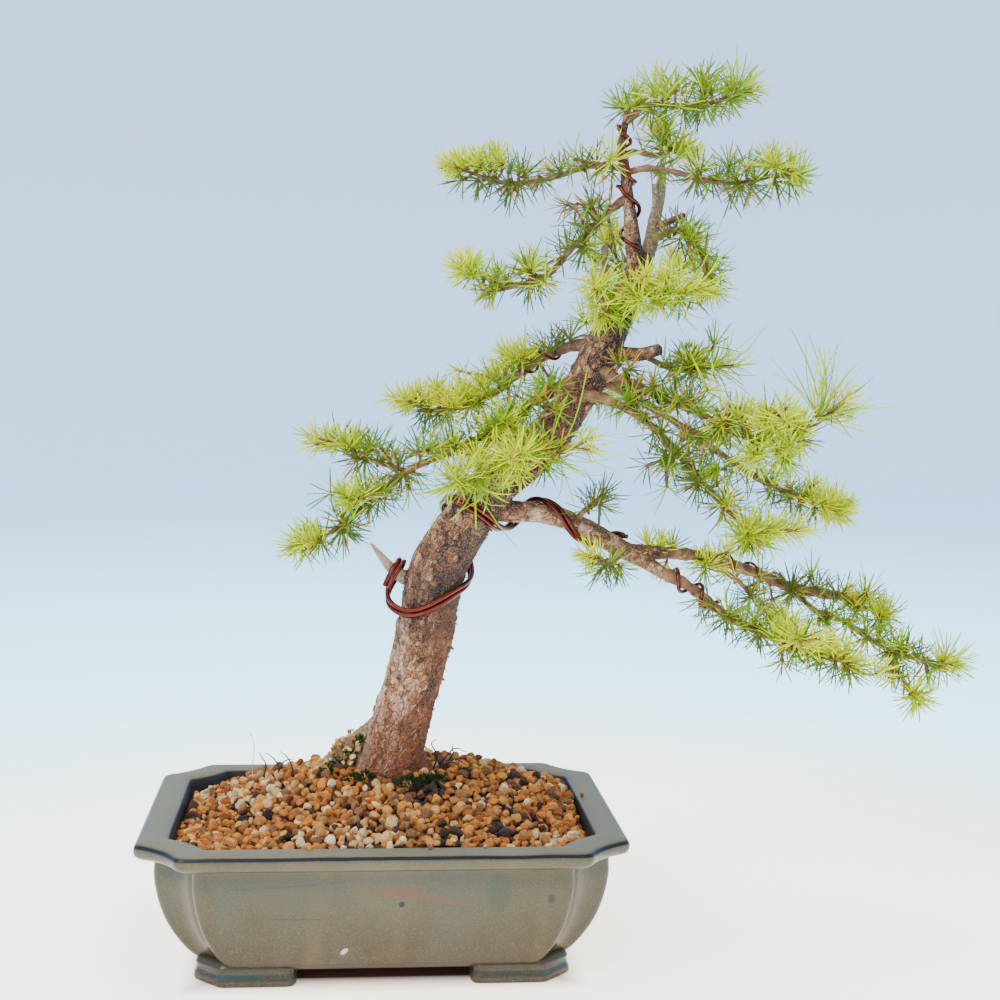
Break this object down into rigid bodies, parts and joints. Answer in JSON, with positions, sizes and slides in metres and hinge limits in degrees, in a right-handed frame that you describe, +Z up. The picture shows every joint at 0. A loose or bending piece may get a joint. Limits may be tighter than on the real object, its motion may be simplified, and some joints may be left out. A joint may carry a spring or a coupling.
{
  "type": "european larch bonsai in a pot",
  "caption": "Slanting larch bonsai with a leaning flaky trunk, wired branches and tufts of short needles, in a shallow glazed rectangular pot with cut corners, filled with granules",
  "frame": {"origin": "middle of the bounding box of tree and pot together, at the plane that the pot's feet stand on; the pot's own centre lies 103 mm to -X of it", "axes": "+Z is up, +X runs along the pot's long side to the side that the tree leans to, and -Y is the front that the tree is viewed from"},
  "size_m": [0.4582, 0.188, 0.4774],
  "materials": {
    "glaze": "glossy",
    "screen_plastic": "matte",
    "soil": "matte",
    "bark": "matte",
    "wire": "satin",
    "larch_foliage": "matte"
  },
  "bodies": {
    "root": {"pot": "glaze", "drainage_screen_left": "screen_plastic", "drainage_screen_right": "screen_plastic", "soil": "soil", "trunk": "bark", "wire_heavy_lower": "wire", "wire_heavy_upper": "wire", "wire_leader": "wire", "wire_mid_left": "wire", "wire_right_high": "wire", "wire_arm_upper": "wire", "wire_arm_lower": "wire", "spray_apex": "larch_foliage", "spray_apex_back": "larch_foliage", "spray_top_right": "larch_foliage", "spray_top_left": "larch_foliage", "spray_second_left": "larch_foliage", "spray_right_droop": "larch_foliage", "spray_front_high": "larch_foliage", "spray_front_left": "larch_foliage", "spray_back_high": "larch_foliage", "spray_mid_left": "larch_foliage", "spray_low_left": "larch_foliage", "spray_front_low": "larch_foliage", "spray_back_low": "larch_foliage", "spray_back_mid": "larch_foliage", "spray_right_stub": "larch_foliage", "spray_right_high": "larch_foliage", "spray_right_low": "larch_foliage", "spray_right_rear": "larch_foliage", "spray_bough_over": "larch_foliage", "spray_bough_under": "larch_foliage", "spray_arm_upper": "larch_foliage", "spray_arm_lower": "larch_foliage"}
  },
  "joints": []
}
